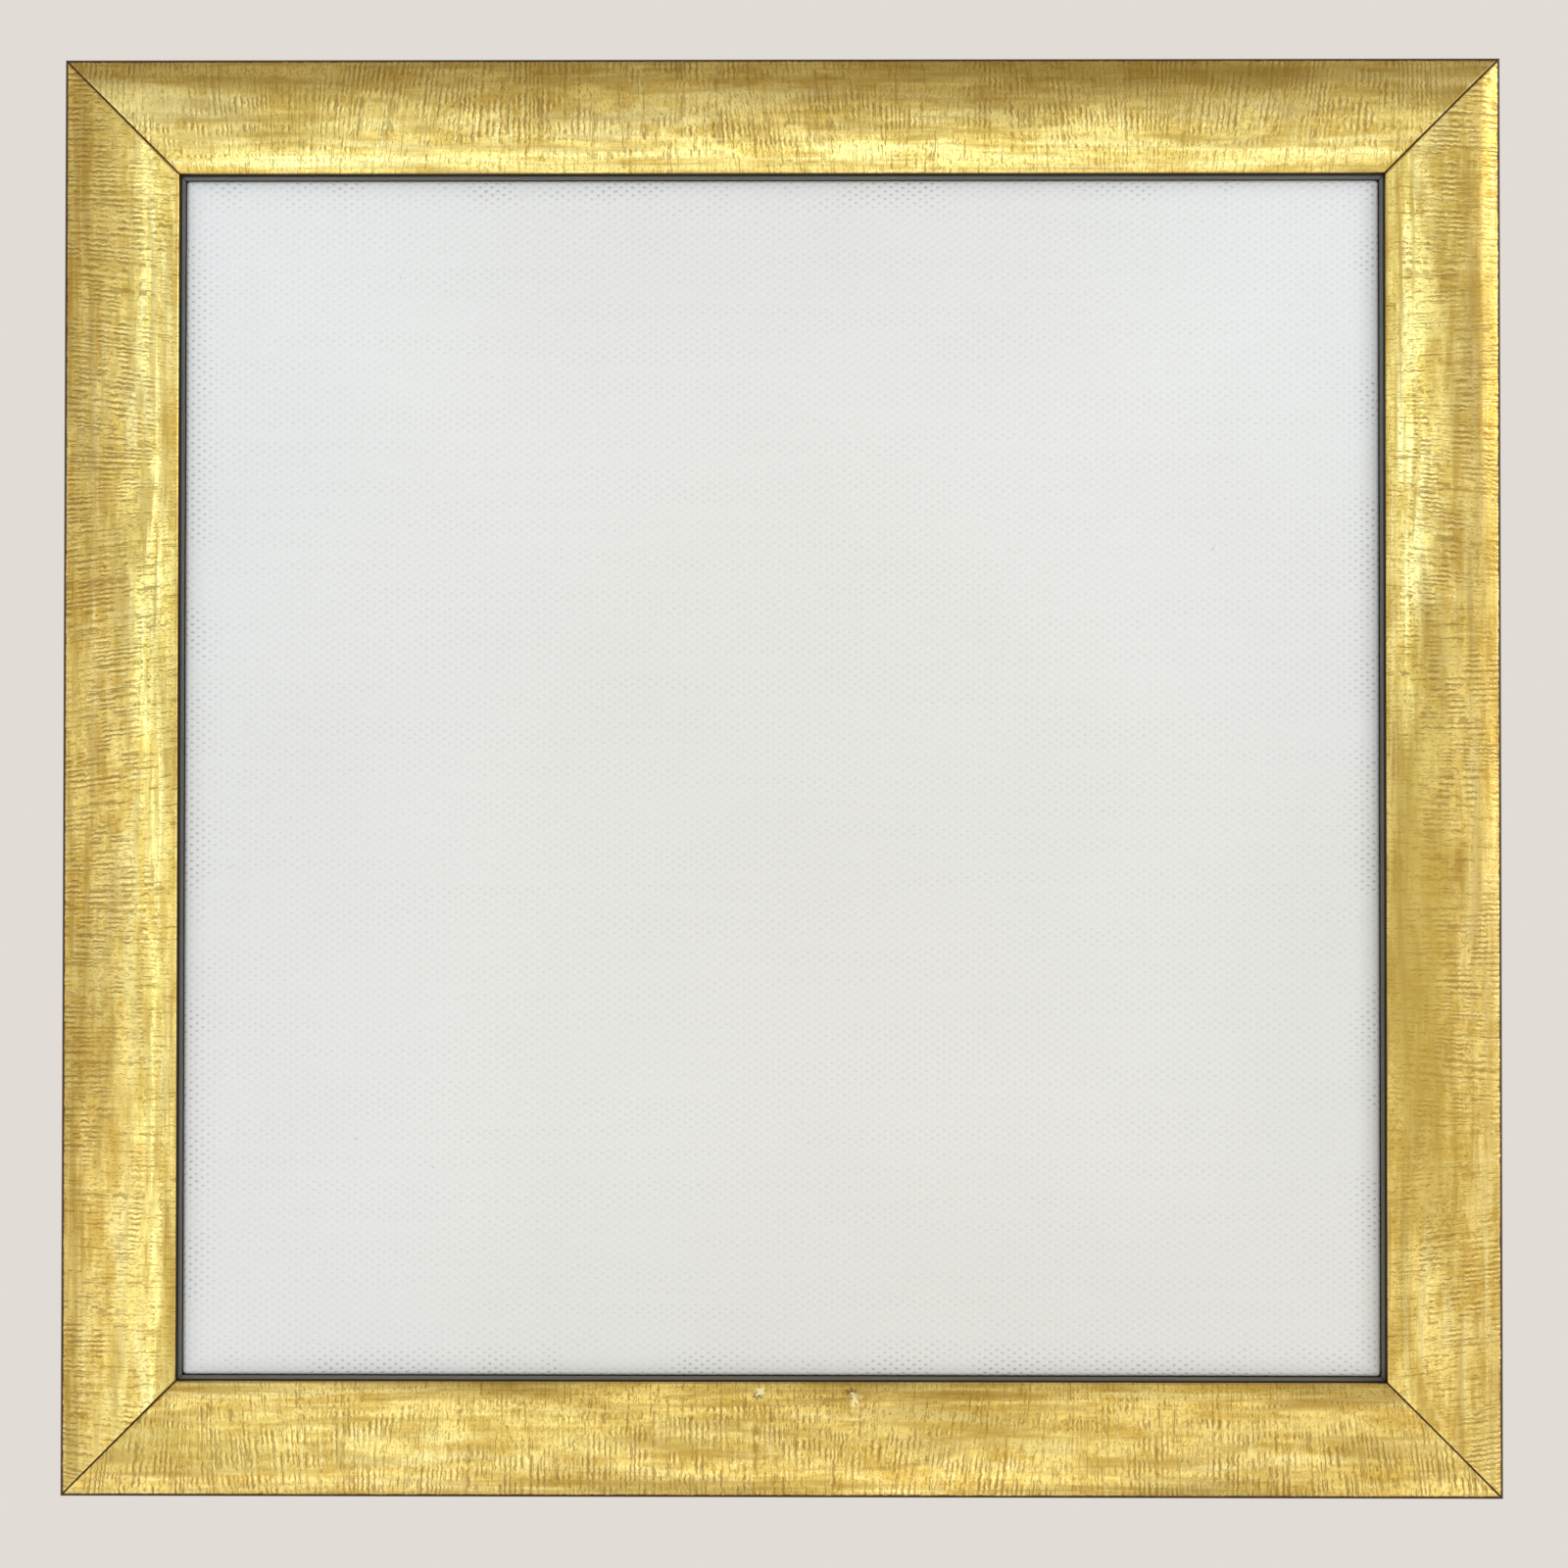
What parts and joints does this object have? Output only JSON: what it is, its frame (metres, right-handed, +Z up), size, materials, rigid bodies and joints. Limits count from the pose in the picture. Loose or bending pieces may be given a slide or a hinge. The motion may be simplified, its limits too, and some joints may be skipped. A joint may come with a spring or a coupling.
{
  "type": "floating frame",
  "caption": "Square floating frame: mitred gold-leaf rails stand round a stretched white canvas with a narrow dark gap between, and D-ring hangers behind.",
  "frame": {"origin": "centre of the frame on the wall plane, which is the tips of the bumpers", "axes": "+Z up the picture, +Y into the wall, so the gilded face and the canvas look along -Y; +X to the right seen from the front"},
  "size_m": [0.305, 0.0373, 0.305],
  "materials": {
    "gilded_wood": "satin gold leaf over brown clay on the face, dark umber stain on the walls, bare wood behind",
    "pine": "planed, unfinished",
    "beech": "sawn, unfinished",
    "primed_cotton": "plain weave with matt white priming, raw cotton behind",
    "staple_wire": "galvanised",
    "zinc_screw": "bright zinc plate",
    "blued_steel": "dark spring steel",
    "nickel_strap": "dull nickel plate",
    "nickel_ring": "nickel plate",
    "bumper_rubber": "soft, matt"
  },
  "bodies": {
    "frame": {"rail_top": "gilded_wood", "rail_bottom": "gilded_wood", "rail_left": "gilded_wood", "rail_right": "gilded_wood", "stretcher_top": "pine", "stretcher_bottom": "pine", "stretcher_left": "pine", "stretcher_right": "pine", "canvas_cloth": "primed_cotton", "canvas_staples": "staple_wire", "canvas_screws": "zinc_screw", "corner_v_nails": "blued_steel", "hanger_strap_left": "nickel_strap", "hanger_strap_right": "nickel_strap", "hanger_screws": "zinc_screw", "wall_bumper_left": "bumper_rubber", "wall_bumper_right": "bumper_rubber"},
    "key_top_left": {"key_top_left": "beech"},
    "key_top_right": {"key_top_right": "beech"},
    "key_bottom_left": {"key_bottom_left": "beech"},
    "key_bottom_right": {"key_bottom_right": "beech"},
    "key_left_top": {"key_left_top": "beech"},
    "key_left_bottom": {"key_left_bottom": "beech"},
    "key_right_top": {"key_right_top": "beech"},
    "key_right_bottom": {"key_right_bottom": "beech"},
    "hanger_ring_left": {"hanger_ring_left": "nickel_ring"},
    "hanger_ring_right": {"hanger_ring_right": "nickel_ring"}
  },
  "joints": [
    {"name": "ring_left_swing", "type": "hinge", "parent": "frame", "child": "hanger_ring_left", "pos_m": [-0.1395, -0.0035, 0.0745], "axis": [1, 0, 0], "range_deg": [0, 180]},
    {"name": "ring_right_swing", "type": "hinge", "parent": "frame", "child": "hanger_ring_right", "pos_m": [0.1395, -0.0035, 0.0745], "axis": [1, 0, 0], "range_deg": [0, 180]},
    {"name": "key_top_left_slide", "type": "slide", "parent": "frame", "child": "key_top_left", "axis": [0, 0, -1], "range_m": [0, 0.015]},
    {"name": "key_top_right_slide", "type": "slide", "parent": "frame", "child": "key_top_right", "axis": [0, 0, -1], "range_m": [0, 0.015]},
    {"name": "key_bottom_left_slide", "type": "slide", "parent": "frame", "child": "key_bottom_left", "axis": [0, 0, 1], "range_m": [0, 0.015]},
    {"name": "key_bottom_right_slide", "type": "slide", "parent": "frame", "child": "key_bottom_right", "axis": [0, 0, 1], "range_m": [0, 0.015]},
    {"name": "key_left_top_slide", "type": "slide", "parent": "frame", "child": "key_left_top", "axis": [1, 0, 0], "range_m": [0, 0.015]},
    {"name": "key_left_bottom_slide", "type": "slide", "parent": "frame", "child": "key_left_bottom", "axis": [1, 0, 0], "range_m": [0, 0.015]},
    {"name": "key_right_top_slide", "type": "slide", "parent": "frame", "child": "key_right_top", "axis": [-1, 0, 0], "range_m": [0, 0.015]},
    {"name": "key_right_bottom_slide", "type": "slide", "parent": "frame", "child": "key_right_bottom", "axis": [-1, 0, 0], "range_m": [0, 0.015]}
  ]
}
